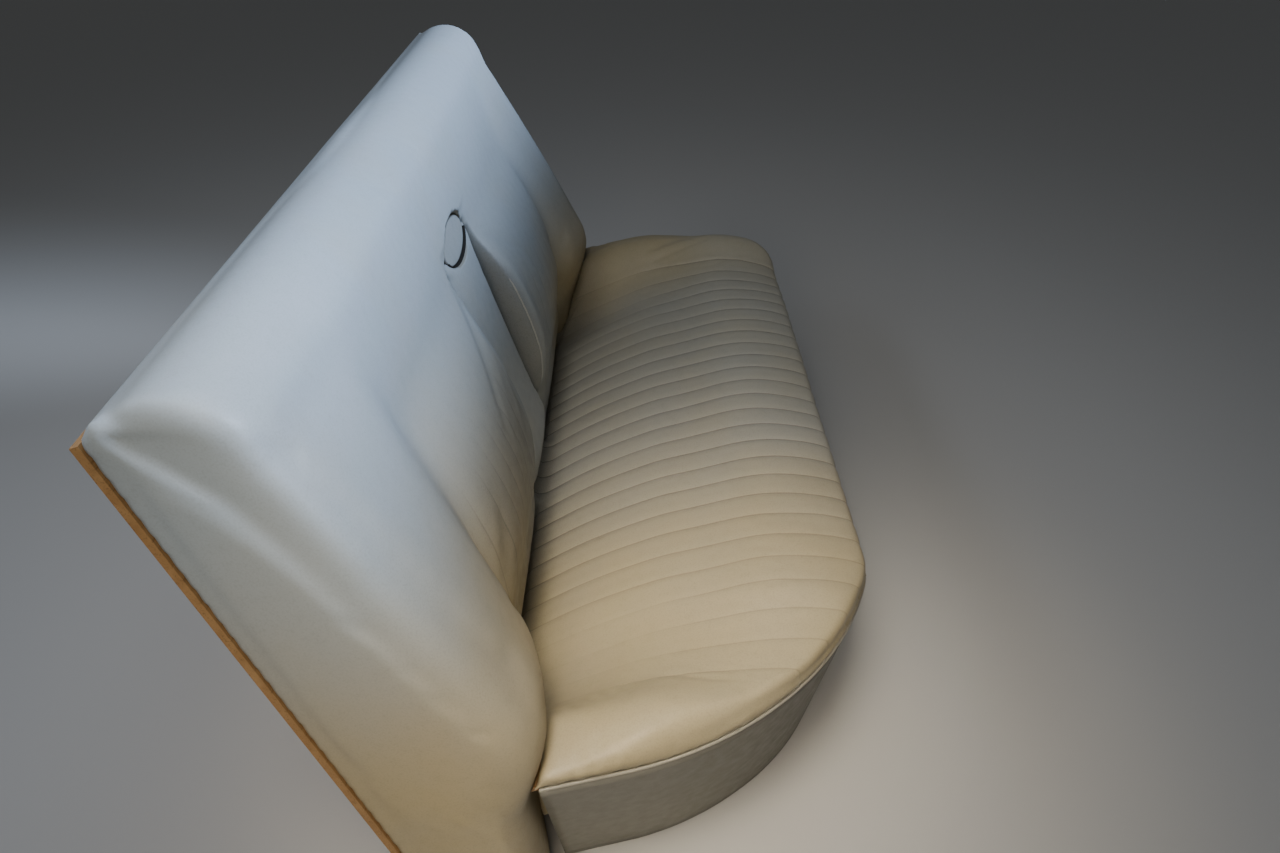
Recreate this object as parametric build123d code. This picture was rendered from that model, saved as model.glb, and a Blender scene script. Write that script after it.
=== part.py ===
from build123d import *
from math import atan, cos, degrees, radians, sin, sqrt, tan
import os

# Rear bench seat of a six-seat sedan: a pleated cushion on a skirted, sprung base, a reclined
# backrest with side wings, and a centre armrest that folds down. Units are millimetres, +Z is up,
# the seat faces -Y, and the origin is on the floor under the middle of the bounding box.

# Cushion, side view
PLEAT_PITCH = 45.0
PLEAT_COUNT = 25
FLOOR_GAP = 2.0
CUSHION_FRONT = -396.0
CUSHION_REAR = 84.0
PIPING_TOP = 288.0
PIPING_SIZE = 6.0
PIPING_PROUD = 2.0
EDGE_BULGE = 6.0
CROWN_TOP = 374.0
CROWN_RADIUS = 60.0
CROWN_STEPS = 4
CROWN_Y = -320.0
CROWN_REAR_Y = -215.0
DISH_Y = -126.0
NOSE_DROP = 18.0
WELL_RIM = 82.0
WELL_FRONT_Z = 262.0
WELL_REAR_Z = 100.0

# Cushion outline at the piping, seen from above; the left front corner is the squarer one
# Columns: x where the front ends, middle of the corner, end of the corner
TOP_LEFT = (565.0, (657.0, -360.0), (690.0, -270.0))
TOP_RIGHT = (375.0, (576.0, -262.0), (670.0, -85.0))
TOP_REAR_X = 708.0

# Skirt outline at the floor: the outline at the piping scaled down, its sides tucked further in
FOOT_SCALE = 0.894
FOOT_TUCK = 29.0
FOOT_BACK = -4.0
SKIRT_REAR = 82.0
SKIRT_WALL = 8.0
SKIRT_SEAM_X = 375.0
CORNER_CHORDS = 10
CORNER_NORMAL = (-0.77, 0.64)

# Backrest: a leaning frame of its own, u up the front face and w rearwards from it
RECLINE = 16.5
FACE_Y = 75.0
FACE_Z = 300.0
BACK_DEPTH = 128.0
BACK_TOP = 545.0
BACK_BOTTOM_Z = 110.0
ROLL_FRONT = (515.0, 14.0)
ROLL_CREST_W = 62.0
ROLL_REAR = (539.0, 105.0)
LOBE_HALF = 495.0
WING_GAP = 2.0
WING_OUTER = 718.0
BOARD_THICK = 8.0
BOARD_LOW = -158.0
BOARD_HIGH = 522.0

# Armrest and its hinge
ARMREST_WIDTH = 180.0
ARMREST_DEPTH = 110.0
ARMREST_TOP = 340.0
ARMREST_CHAMFER = 25.0
ARMREST_SIDE_GAP = 7.5
ARMREST_TOP_GAP = 6.0
RECESS_LIP = 2.5
PIVOT_U = -13.0
PIVOT_W = 62.0
PIN_DIAMETER = 10.0
PIN_CLEARANCE = 0.05
PIN_END = 0.5
BRACKET_THICK = 3.0
BRACKET_RADIUS = 14.0
BRACKET_SIDE_GAP = 2.0
BRACKET_FLANGE = 22.0
FLANGE_ROOM = 0.5

# Finger scoop above the armrest
SCOOP_U = 352.0
SCOOP_WIDTH = 166.0
SCOOP_RISE = 28.0
SCOOP_DEPTH = 30.0

# Boards and steel frame
BOARD_TOP_Z = 282.0
RIM_BOARD_THICK = 12.0
RIM_SPLIT = 440.0
RIM_SPLIT_DEPTH = 200.0
TUBE = 25.0
TUBE_WALL = 2.0
UPRIGHT_X = 410.0
UPRIGHT_TOP = 467.5
TOP_RAIL_HALF = 600.0
FRONT_RAIL_Y = -345.0
REAR_RAIL_Y = 55.0
LEG_Y = -195.0
FOOT_LENGTH = 60.0
FOOT_WIDTH = 60.0
FOOT_THICK = 4.0
FOOT_OUT = 15.0
FOOT_HOLE = 9.0
FOOT_HOLE_IN = 29.0

# Hanger hooks on the top rail
BENCH_REAR = 402.0
HOOK_X = 300.0
HOOK_WIDTH = 30.0
HOOK_THICK = 3.0
HOOK_LAP = 40.0
HOOK_LIP = 30.0

# Zigzag springs
SPRING_COUNT = 7
SPRING_PITCH = 108.0
SPRING_WIRE = 4.0
SPRING_HALF_WAVE = 22.0
SPRING_BENDS = 13
BEND_SIDES = 8

# A cutting block this long reaches past the bench on every side
ROOM = 2000.0

# Columns: x past the last pleat, z at the nose, over the crown, in the dish and at the rear
CUSHION_ROWS = [
    (-90, 338, 330, 290, 182),
    (0, 334, 336, 316, 232),
    (62, 352, 368, 368, 300),
]

# Columns: z, y of the wing's crown, y of the valley beside it
WING_PROFILE = [
    (FLOOR_GAP, 24, 92),
    (250, 40, 90),
    (300, 21, 88),
    (335, 11, 86),
    (372, 13, 88),
    (412, 30, 96),
    (560, 106, 142),
    (742, 210, 208),
]
# Columns: share of the wing's width outwards, share of the way from its crown back to the valley
WING_ROWS = [
    (0.0, 1.0),
    (0.07, 0.68),
    (0.2, 0.37),
    (0.4, 0.2),
    (0.6, 0.08),
    (0.78, 0.0),
    (0.93, 0.12),
    (1.0, 0.4),
]

# Columns: z, y of the lobe's belly, y of the flat face
LOBE_PROFILE = [
    (BACK_BOTTOM_Z, 90, 92),
    (250, 89, 92),
    (312, 73, 90),
    (372, 62, 96),
    (420, 69, 111),
    (485, 90, 130),
    (556, 124, 151),
    (612, 167, 167),
    (742, 206, 206),
]
# Columns: distance in from the lobe's edge, share of the belly
LOBE_EDGE = [(0, 0.35), (17, 0.8), (55, 1.0)]

PIECES = {}

slope = tan(radians(RECLINE))
lean_cos = cos(radians(RECLINE))
lean_sin = sin(radians(RECLINE))
pleated_half = PLEAT_COUNT * PLEAT_PITCH / 2
board_rear = BACK_DEPTH + BOARD_THICK


def lean(u, w):
    """Side-view point (Y, Z) of the backrest frame."""
    return (FACE_Y + lean_sin * u + lean_cos * w, FACE_Z + lean_cos * u - lean_sin * w)


def rear_y(w, z):
    """Y of the leaning plane at depth w, at height z."""
    u = (z - FACE_Z + lean_sin * w) / lean_cos
    return lean(u, w)[0]


def lean_plane(u, w):
    """Plane across the backrest frame, its normal up the face."""
    return Plane(origin=(0, *lean(u, w)), x_dir=(1, 0, 0), z_dir=(0, lean_sin, lean_cos))


def side_solid(outline, x0, x1):
    """Side-view outline extruded from x0 to x1."""
    return Pos(x0, 0, 0) * extrude(Plane.YZ * make_face(outline), x1 - x0)


def lean_box(u0, u1, w0, w1, x0, x1):
    """Box in the backrest's leaning frame."""
    corners = [lean(u0, w0), lean(u1, w0), lean(u1, w1), lean(u0, w1)]
    return side_solid(Polyline(*corners, close=True), x0, x1)


def pin_bar(radius, x0, x1):
    """Round bar about the armrest's pivot."""
    bar = Cylinder(radius, x1 - x0, align=(Align.CENTER, Align.CENTER, Align.MIN))
    return Pos(x0, *lean(PIVOT_U, PIVOT_W)) * Rot(0, 90, 0) * bar


def square_tube(length):
    """Square tube standing on its end at the origin."""
    inner = TUBE - 2 * TUBE_WALL
    return extrude(Rectangle(TUBE, TUBE) - Rectangle(inner, inner), length)


def cross_bar(length):
    """Square tube along X, centred on the origin."""
    return Pos(-length / 2, 0, 0) * Rot(0, 90, 0) * square_tube(length)


def plan_sides(inset, rear, scale=1.0, tuck=0.0, back=0.0):
    """Left and right side of the outline, drawn in by inset: three points of the corner, then the rear end."""
    sides = []
    for half, mid, end in (TOP_LEFT, TOP_RIGHT):
        points = [
            (half, CUSHION_FRONT + inset),
            (mid[0] + inset * CORNER_NORMAL[0], mid[1] + inset * CORNER_NORMAL[1]),
            (end[0] - inset, end[1]),
        ]
        side = [(scale * x - tuck, scale * y + back) for x, y in points]
        flare = (TOP_REAR_X - end[0]) / (SKIRT_REAR - end[1])
        side.append((side[2][0] + flare * (rear - side[2][1]), rear))
        sides.append(side)
    return sides[0], [(-x, y) for x, y in sides[1]]


def cushion_plan(z, inset, rear=CUSHION_REAR):
    """Outline of the cushion at height z: a front line, two corner arcs, two side lines and a rear line."""
    left, right = plan_sides(inset, rear)
    outline = Curve() + [
        Line(right[0], left[0]),
        ThreePointArc(*left[:3]),
        Line(left[2], left[3]),
        Line(left[3], right[3]),
        Line(right[3], right[2]),
        ThreePointArc(*reversed(right[:3])),
    ]
    return Pos(0, 0, z) * make_face(outline)


def skirt_ring(z, left, right):
    """Corners of the skirt's outline at height z, with straight chords round its two arcs."""
    shares = [step / CORNER_CHORDS for step in range(CORNER_CHORDS + 1)]
    plan = [Vector(*right[3])]
    plan += [ThreePointArc(*right[:3]) @ (1 - share) for share in shares]
    plan += [ThreePointArc(*left[:3]) @ share for share in shares]
    plan.append(Vector(*left[3]))
    return [Vector(point.X, point.Y, z) for point in plan]


def skirt_body(inset):
    """Tapered solid between the skirt's foot and the piping, with flat sides."""
    top = skirt_ring(PIPING_TOP - PIPING_SIZE, *plan_sides(inset, SKIRT_REAR))
    foot = skirt_ring(FLOOR_GAP, *plan_sides(inset, SKIRT_REAR, FOOT_SCALE, FOOT_TUCK, FOOT_BACK))
    faces = [make_face(Polyline(*ring, close=True)) for ring in (top, foot)]
    for i, corner in enumerate(top):
        faces.append(make_face(Polyline(top[i - 1], corner, foot[i], foot[i - 1], close=True)))
    return Solid(Shell([face.face() for face in faces]))


def under_well(y, drop):
    """Height of the line parallel to the well's floor, drop below it."""
    return WELL_FRONT_Z - (y - well_front) * well_slope - drop


# The cushion's underside is a well that slopes down to the rear, inside the rim board
well_front = CUSHION_FRONT + WELL_RIM
well_slope = (WELL_FRONT_Z - WELL_REAR_Z) / (CUSHION_REAR - well_front)
well_angle = degrees(atan(well_slope))


def cushion_section(x, nose, crown, dish, rear):
    """Side view of the cushion's top; its underside runs below the well."""
    low = WELL_REAR_Z - WELL_RIM
    y0 = CUSHION_FRONT - EDGE_BULGE
    outline = Curve() + [
        Line((CUSHION_REAR, low), (y0, low)),
        Line((y0, low), (y0, nose - NOSE_DROP)),
        ThreePointArc((y0, nose - NOSE_DROP), (CROWN_Y, max(nose, crown)), (CROWN_REAR_Y, crown - NOSE_DROP / 2)),
        Line((CROWN_REAR_Y, crown - NOSE_DROP / 2), (DISH_Y, dish)),
        Line((DISH_Y, dish), (CUSHION_REAR, rear)),
        Line((CUSHION_REAR, rear), (CUSHION_REAR, low)),
    ]
    return Pos(x, 0, 0) * (Plane.YZ * make_face(outline))


def cushion():
    """Cushion with a dished, pleated middle and raised end rolls."""
    half_rows = [(pleated_half + past, *heights) for past, *heights in CUSHION_ROWS]
    half_rows.append((TOP_REAR_X + WELL_RIM, *CUSHION_ROWS[-1][1:]))
    rows = [(-x, *heights) for x, *heights in reversed(half_rows)] + half_rows
    top = loft([cushion_section(*row) for row in rows], ruled=True)
    rim_plans = [cushion_plan(PIPING_TOP, 0)]
    for step in range(CROWN_STEPS + 1):
        angle = radians(90 * step / CROWN_STEPS)
        inset = CROWN_RADIUS * (1 - cos(angle)) - EDGE_BULGE
        rim_plans.append(cushion_plan(CROWN_TOP - CROWN_RADIUS * (1 - sin(angle)), inset))
    well_side = [
        (well_front, WELL_FRONT_Z),
        (CUSHION_REAR, WELL_REAR_Z),
        (CUSHION_REAR, CROWN_TOP),
        (well_front, CROWN_TOP),
    ]
    well = extrude(cushion_plan(WELL_REAR_Z, WELL_RIM), CROWN_TOP - WELL_REAR_Z)
    well = well & side_solid(Polyline(*well_side, close=True), -ROOM, ROOM)
    return top & (loft(rim_plans, ruled=True) + well)


def top_roll():
    """Side view of the backrest's rolled top, from its front face over to the board."""
    crest = lean(BACK_TOP, ROLL_CREST_W)
    return [
        ThreePointArc((LOBE_PROFILE[-1][1], LOBE_PROFILE[-1][0]), lean(*ROLL_FRONT), crest),
        ThreePointArc(crest, lean(*ROLL_REAR), lean(BOARD_HIGH, BACK_DEPTH)),
    ]


def wing_section(x, share):
    """Side view of a wing: down to the floor below, flush with the backrest's roll at the top."""
    p = [(crown + share * (valley - crown), z) for z, crown, valley in WING_PROFILE]
    roll = top_roll()
    low_rear = (rear_y(BACK_DEPTH, FLOOR_GAP), FLOOR_GAP)
    outline = Curve() + [
        Line(p[0], p[1]),
        ThreePointArc(p[1], p[2], p[3]),
        ThreePointArc(p[3], p[4], p[5]),
        ThreePointArc(p[5], p[6], p[7]),
        ThreePointArc(p[7], lean(*ROLL_FRONT), lean(BACK_TOP, ROLL_CREST_W)),
        roll[1],
        Line(lean(BOARD_HIGH, BACK_DEPTH), low_rear),
        Line(low_rear, p[0]),
    ]
    return Pos(x, 0, 0) * (Plane.YZ * make_face(outline))


def wing():
    """Left wing, padded forward beside the cushion's end."""
    inner = LOBE_HALF + WING_GAP
    rows = [(inner + width * (WING_OUTER - inner), share) for width, share in WING_ROWS]
    return loft([wing_section(*row) for row in rows], ruled=True)


def lobe_section(x, share):
    """Side view of the backrest pad: a belly over the cushion, a plain roll above."""
    p = [(flat + share * (lobe - flat), z) for z, lobe, flat in LOBE_PROFILE]
    low_rear = (rear_y(BACK_DEPTH, BACK_BOTTOM_Z), BACK_BOTTOM_Z)
    outline = Curve() + [
        Line(p[0], p[1]),
        ThreePointArc(p[1], p[2], p[3]),
        ThreePointArc(p[3], p[4], p[5]),
        ThreePointArc(p[5], p[6], p[7]),
        Line(p[7], p[8]),
        *top_roll(),
        Line(lean(BOARD_HIGH, BACK_DEPTH), low_rear),
        Line(low_rear, p[0]),
    ]
    return Pos(x, 0, 0) * (Plane.YZ * make_face(outline))


recess_half = ARMREST_WIDTH / 2 + ARMREST_SIDE_GAP
bracket_x = ARMREST_WIDTH / 2 + BRACKET_SIDE_GAP


def backrest_pad():
    """Two lobes with the armrest's recess between them, under one rolled top."""
    lobe_inner = recess_half + RECESS_LIP
    half_rows = [(lobe_inner + inset, share) for inset, share in LOBE_EDGE]
    half_rows += [(LOBE_HALF - inset, share) for inset, share in reversed(LOBE_EDGE)]
    rows = [(-x, share) for x, share in reversed(half_rows)] + half_rows
    pad = loft([lobe_section(*row) for row in rows], ruled=True)
    recess = lean_box(-ROOM, ARMREST_TOP + ARMREST_TOP_GAP, -ROOM, ROOM, -recess_half, recess_half)
    flange_end = bracket_x + BRACKET_FLANGE + FLANGE_ROOM
    flange_room = lean_box(
        PIVOT_U - BRACKET_RADIUS - FLANGE_ROOM,
        PIVOT_U + BRACKET_RADIUS + FLANGE_ROOM,
        BACK_DEPTH - BRACKET_THICK - FLANGE_ROOM,
        ROOM,
        -flange_end,
        flange_end,
    )
    return pad - recess - flange_room


def scoop():
    """Lens-shaped cutter that deepens downwards, for fingers behind the armrest's top edge."""
    left = (-SCOOP_WIDTH / 2, SCOOP_U)
    right = (SCOOP_WIDTH / 2, SCOOP_U)
    lens = make_face(
        Curve()
        + [
            ThreePointArc(left, (0, SCOOP_U + SCOOP_RISE), right),
            ThreePointArc(right, (0, SCOOP_U - SCOOP_RISE), left),
        ]
    )
    face_plane = Plane(origin=(0, *lean(0, 0)), x_dir=(1, 0, 0), z_dir=(0, -lean_cos, lean_sin))
    prism = face_plane * extrude(Pos(0, 0, -SCOOP_DEPTH) * lens, 2 * SCOOP_DEPTH)
    wedge = [
        lean(SCOOP_U + SCOOP_RISE, -SCOOP_DEPTH),
        lean(SCOOP_U + SCOOP_RISE, 0),
        lean(SCOOP_U - SCOOP_RISE, SCOOP_DEPTH),
        lean(SCOOP_U - SCOOP_RISE, -SCOOP_DEPTH),
    ]
    return prism & side_solid(Polyline(*wedge, close=True), -SCOOP_WIDTH, SCOOP_WIDTH)


def armrest():
    """Armrest pad: its lower end is round about the pivot, so that it turns clear of the board."""
    tail_drop = sqrt(PIVOT_W**2 - (ARMREST_DEPTH - PIVOT_W) ** 2)
    tail_end = lean(PIVOT_U - tail_drop, ARMREST_DEPTH)
    bottom = lean(PIVOT_U - PIVOT_W, PIVOT_W)
    outline = Curve() + [
        Line(lean(PIVOT_U, 0), lean(ARMREST_TOP, 0)),
        Line(lean(ARMREST_TOP, 0), lean(ARMREST_TOP, ARMREST_DEPTH - ARMREST_CHAMFER)),
        Line(
            lean(ARMREST_TOP, ARMREST_DEPTH - ARMREST_CHAMFER),
            lean(ARMREST_TOP - ARMREST_CHAMFER, ARMREST_DEPTH),
        ),
        Line(lean(ARMREST_TOP - ARMREST_CHAMFER, ARMREST_DEPTH), tail_end),
        ThreePointArc(tail_end, bottom, lean(PIVOT_U, 0)),
    ]
    pad = side_solid(outline, -ARMREST_WIDTH / 2, ARMREST_WIDTH / 2)
    return pad - pin_bar(PIN_DIAMETER / 2, -recess_half, recess_half)


def bracket():
    """Left hinge plate from the board forward to the pin, with a flange on the board."""
    x0 = bracket_x
    x1 = x0 + BRACKET_THICK
    u0 = PIVOT_U - BRACKET_RADIUS
    u1 = PIVOT_U + BRACKET_RADIUS
    plate = pin_bar(BRACKET_RADIUS, x0, x1) + lean_box(u0, u1, PIVOT_W, BACK_DEPTH, x0, x1)
    plate += lean_box(u0, u1, BACK_DEPTH - BRACKET_THICK, BACK_DEPTH, x0, x0 + BRACKET_FLANGE)
    return plate - pin_bar(PIN_DIAMETER / 2 + PIN_CLEARANCE, 0, 2 * x1)


def rim_board():
    """Board under the cushion's edge, inside the skirt and open over the well."""
    low = BOARD_TOP_Z - RIM_BOARD_THICK
    slab = Pos(0, 0, low + RIM_BOARD_THICK / 2) * Box(ROOM, ROOM, RIM_BOARD_THICK)
    opening = extrude(cushion_plan(low, WELL_RIM, CUSHION_REAR + TUBE), RIM_BOARD_THICK)
    return (slab & skirt_body(SKIRT_WALL)) - opening


# Upholstery
left_wing = wing()
wings = {"left": left_wing, "right": mirror(left_wing, about=Plane.YZ)}
both_wings = wings["left"] + wings["right"]
PIECES["backrest_wing_left"] = wings["left"]
PIECES["backrest_wing_right"] = wings["right"]
PIECES["cushion_pad"] = cushion() - both_wings
piping_low = PIPING_TOP - PIPING_SIZE
piping = extrude(cushion_plan(piping_low, -PIPING_PROUD), PIPING_SIZE)
piping -= extrude(cushion_plan(piping_low, PIPING_SIZE - PIPING_PROUD), PIPING_SIZE)
PIECES["cushion_piping"] = piping - both_wings
wing_room = [(crown - WING_GAP, z) for z, crown, valley in WING_PROFILE[:3]]
wing_room += [(ROOM, wing_room[-1][1]), (ROOM, FLOOR_GAP)]
skirt = skirt_body(0) - skirt_body(SKIRT_WALL) - side_solid(Polyline(*wing_room, close=True), -ROOM, ROOM)
front_length = Box(2 * SKIRT_SEAM_X, ROOM, ROOM)
PIECES["skirt_front"] = skirt & front_length
PIECES["skirt_left"] = (skirt - front_length) & Pos(ROOM / 2, 0, 0) * Box(ROOM, ROOM, ROOM)
PIECES["skirt_right"] = (skirt - front_length) & Pos(-ROOM / 2, 0, 0) * Box(ROOM, ROOM, ROOM)
finger_scoop = scoop()
PIECES["backrest_pad"] = backrest_pad() - finger_scoop
PIECES["armrest_pad"] = armrest() - finger_scoop

# Armrest hinge
pin_half = bracket_x + BRACKET_THICK + PIN_END
PIECES["armrest_pin"] = pin_bar(PIN_DIAMETER / 2, -pin_half, pin_half)
left_bracket = bracket()
PIECES["armrest_bracket_left"] = left_bracket
PIECES["armrest_bracket_right"] = mirror(left_bracket, about=Plane.YZ)

# Boards
PIECES["backrest_board"] = lean_box(BOARD_LOW, BOARD_HIGH, BACK_DEPTH, board_rear, -WING_OUTER, WING_OUTER)
board = rim_board()
front_cut = Pos(0, CUSHION_FRONT, BOARD_TOP_Z) * Box(2 * RIM_SPLIT, 2 * RIM_SPLIT_DEPTH, TUBE)
PIECES["rim_board_front"] = board & front_cut
for solid in (board - front_cut).solids():
    side = "left" if solid.center().X > 0 else "right"
    PIECES["rim_board_" + side] = solid - wings[side]

# Uprights, side rails, legs and feet
tube_mid = board_rear + TUBE / 2
upright = lean_plane(-ROOM / 2, tube_mid) * square_tube(UPRIGHT_TOP + ROOM / 2)
upright = upright & Pos(0, 0, ROOM / 2 + FOOT_THICK) * Box(ROOM, ROOM, ROOM)
tube_drop = TUBE / cos(radians(well_angle))


def meet_upright(drop):
    """Where the line drop below the well's floor meets the front of the uprights."""
    floor_y = rear_y(board_rear, 0)
    z = under_well(floor_y, drop) / (1 + well_slope * slope)
    return (floor_y + z * slope, z)


def side_rail(y0, x):
    """Square bar from the front rail down to the upright, its top on the well's floor."""
    outline = [(y0, under_well(y0, 0)), meet_upright(0), meet_upright(tube_drop), (y0, under_well(y0, tube_drop))]
    return side_solid(Polyline(*outline, close=True), x - TUBE / 2, x + TUBE / 2)


def front_leg(x):
    """Tube from the foot plate up to the underside of the side rail."""
    over = [
        (LEG_Y - TUBE, under_well(LEG_Y - TUBE, tube_drop)),
        (LEG_Y + TUBE, under_well(LEG_Y + TUBE, tube_drop)),
        (LEG_Y + TUBE, ROOM),
        (LEG_Y - TUBE, ROOM),
    ]
    tube = Pos(x, LEG_Y, FOOT_THICK) * square_tube(WELL_FRONT_Z)
    return tube - side_solid(Polyline(*over, close=True), x - TUBE, x + TUBE)


def foot(x, y):
    """Foot plate with its bolt hole on the inner side of the leg."""
    plate = Pos(x + FOOT_OUT - FOOT_WIDTH / 2, y, FOOT_THICK / 2) * Box(FOOT_WIDTH, FOOT_LENGTH, FOOT_THICK)
    return plate - Pos(x - FOOT_HOLE_IN, y, 0) * Cylinder(FOOT_HOLE / 2, 4 * FOOT_THICK)


rail_front = FRONT_RAIL_Y + TUBE
left_frame = {
    "upright_": Pos(UPRIGHT_X, 0, 0) * upright,
    "side_rail_": side_rail(rail_front, UPRIGHT_X),
    "front_leg_": front_leg(UPRIGHT_X),
    "foot_front_": foot(UPRIGHT_X, LEG_Y),
    "foot_rear_": foot(UPRIGHT_X, rear_y(tube_mid, FOOT_THICK)),
}
for name, solid in left_frame.items():
    PIECES[name + "left"] = solid
    PIECES[name + "right"] = mirror(solid, about=Plane.YZ)

# Rails across
front_rail_z = BOARD_TOP_Z - RIM_BOARD_THICK - TUBE / 2
PIECES["front_rail"] = Pos(0, FRONT_RAIL_Y + TUBE / 2, front_rail_z) * cross_bar(2 * UPRIGHT_X + TUBE)
well_plane = Plane(origin=(0, REAR_RAIL_Y, under_well(REAR_RAIL_Y, 0)), x_dir=(1, 0, 0), z_dir=(0, well_slope, 1))
PIECES["rear_rail"] = well_plane * Pos(0, 0, -SPRING_WIRE - TUBE / 2) * cross_bar(2 * UPRIGHT_X - TUBE)
top_rail_at = Pos(0, *lean(UPRIGHT_TOP + TUBE / 2, tube_mid)) * Rot(-RECLINE, 0, 0)
PIECES["top_rail"] = top_rail_at * cross_bar(2 * TOP_RAIL_HALF)

# Zigzag springs under the cushion's well, from the front rail to the rear rail
spring_length = (REAR_RAIL_Y + TUBE / 3 - rail_front) / cos(radians(well_angle))
spring_step = spring_length / (SPRING_BENDS + 1)


def spring():
    """One zigzag spring in its own plane: straight runs across, bends at their ends, two tails."""
    bend = spring_step / 2
    corner = RegularPolygon(bend + SPRING_WIRE / 2, BEND_SIDES) - RegularPolygon(bend - SPRING_WIRE / 2, BEND_SIDES)
    flat = Pos(SPRING_HALF_WAVE, bend / 2) * Rectangle(SPRING_WIRE, bend)
    flat += Pos(SPRING_HALF_WAVE, spring_length - bend / 2) * Rectangle(SPRING_WIRE, bend)
    for row in range(SPRING_BENDS + 1):
        flat += Pos(0, row * spring_step + bend) * Rectangle(2 * SPRING_HALF_WAVE + SPRING_WIRE, SPRING_WIRE)
    for row in range(SPRING_BENDS):
        side = 1 if row % 2 else -1
        half = corner & Pos(side * spring_step, 0) * Rectangle(2 * spring_step, 4 * spring_step)
        flat += Pos(side * SPRING_HALF_WAVE, (row + 1) * spring_step) * half
    return extrude(flat, SPRING_WIRE)


wire_drop = SPRING_WIRE / cos(radians(well_angle))
spring_plane = Plane(origin=(0, rail_front, under_well(rail_front, wire_drop)), x_dir=(1, 0, 0), z_dir=(0, well_slope, 1))
one_spring = spring_plane * spring()
first = -(SPRING_COUNT - 1) / 2 * SPRING_PITCH
PIECES["seat_springs"] = Compound([Pos(first + i * SPRING_PITCH, 0, 0) * one_spring for i in range(SPRING_COUNT)])


def hook(x):
    """Bent strip on the back of the top rail, its lip pointing down."""
    u0 = UPRIGHT_TOP - HOOK_LAP
    u1 = UPRIGHT_TOP + TUBE
    w0 = board_rear + TUBE
    w1 = w0 + (BENCH_REAR - lean(u1, w0)[0]) / lean_cos
    outline = [
        lean(u0, w0),
        lean(u1, w0),
        lean(u1, w1),
        lean(u1 - HOOK_LIP, w1),
        lean(u1 - HOOK_LIP, w1 - HOOK_THICK),
        lean(u1 - HOOK_THICK, w1 - HOOK_THICK),
        lean(u1 - HOOK_THICK, w0 + HOOK_THICK),
        lean(u0, w0 + HOOK_THICK),
    ]
    return side_solid(Polyline(*outline, close=True), x - HOOK_WIDTH / 2, x + HOOK_WIDTH / 2)


PIECES["hanger_hook_left"] = hook(HOOK_X)
PIECES["hanger_hook_right"] = hook(-HOOK_X)

os.makedirs("parts", exist_ok=True)
for name, piece in PIECES.items():
    solids = piece.solids()
    export_step(solids[0] if len(solids) == 1 else Compound(solids), "parts/" + name + ".step")
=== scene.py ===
# %% [markdown]
# # Rear bench seat
# The bench is a steel and plywood frame that carries three soft pieces: a pleated cushion, a
# backrest whose ends wrap forward as wings, and a centre armrest that folds out of the backrest.
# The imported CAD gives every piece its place, so this lesson only dresses it: soft pieces are
# remade as stuffed leatherette, and the hard ones keep their mesh and get a finish.

# %% Load the frame
from math import cos, pi, radians, sin

import bmesh
import bpy
import numpy as np
from mathutils import Matrix, Vector
from mathutils.bvhtree import BVHTree


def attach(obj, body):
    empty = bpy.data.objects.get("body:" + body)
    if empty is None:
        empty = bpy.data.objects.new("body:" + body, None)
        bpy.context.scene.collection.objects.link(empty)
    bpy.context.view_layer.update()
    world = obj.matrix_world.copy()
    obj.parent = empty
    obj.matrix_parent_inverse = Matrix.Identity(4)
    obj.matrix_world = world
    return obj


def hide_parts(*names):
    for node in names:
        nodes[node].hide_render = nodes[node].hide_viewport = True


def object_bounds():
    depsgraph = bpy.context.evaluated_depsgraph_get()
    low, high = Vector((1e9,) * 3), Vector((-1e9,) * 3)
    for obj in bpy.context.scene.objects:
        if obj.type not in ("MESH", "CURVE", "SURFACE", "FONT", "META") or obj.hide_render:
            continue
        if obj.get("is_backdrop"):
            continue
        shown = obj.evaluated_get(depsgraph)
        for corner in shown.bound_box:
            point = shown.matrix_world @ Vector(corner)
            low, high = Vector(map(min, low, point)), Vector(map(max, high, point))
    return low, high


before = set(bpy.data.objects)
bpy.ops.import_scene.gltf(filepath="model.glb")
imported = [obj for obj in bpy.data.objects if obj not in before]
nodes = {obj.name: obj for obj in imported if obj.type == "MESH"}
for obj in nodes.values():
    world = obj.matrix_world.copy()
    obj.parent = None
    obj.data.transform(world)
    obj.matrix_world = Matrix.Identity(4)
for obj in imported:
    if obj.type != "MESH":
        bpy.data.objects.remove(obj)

MM = 0.001
scene = bpy.context.scene
cad_low, cad_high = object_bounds()
print("CAD box, mm:", [round((high - low) / MM) for low, high in zip(cad_low, cad_high)])

# %% [markdown]
# ## Camera
# The bench is seen from beyond its right-hand end, from above and looking along it. The camera was
# solved from the even pitch of the pleats, and it is written here as the three directions that its
# picture is made of: right, up and backwards.

# %% Camera
CAMERA_AT = Vector((-1332.05, -91.63, 1182.39)) * MM
CAMERA_RIGHT = Vector((-0.013690, -0.999761, -0.017052))
CAMERA_UP = Vector((0.555840, -0.021785, 0.831004))
CAMERA_BACK = Vector((-0.831176, 0.001899, 0.556005))
FOCAL_PIXELS = 951.5
IMAGE_WIDTH = 1280

lens = bpy.data.cameras.new("camera")
lens.sensor_width = 36.0
lens.lens = FOCAL_PIXELS / IMAGE_WIDTH * lens.sensor_width
lens.clip_start = 0.05
camera = bpy.data.objects.new("camera", lens)
turn = Matrix((CAMERA_RIGHT, CAMERA_UP, CAMERA_BACK)).transposed()
camera.matrix_world = Matrix.Translation(CAMERA_AT) @ turn.to_4x4()
scene.collection.objects.link(camera)
scene.camera = camera
print("lens, mm:", round(lens.lens, 2))

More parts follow.
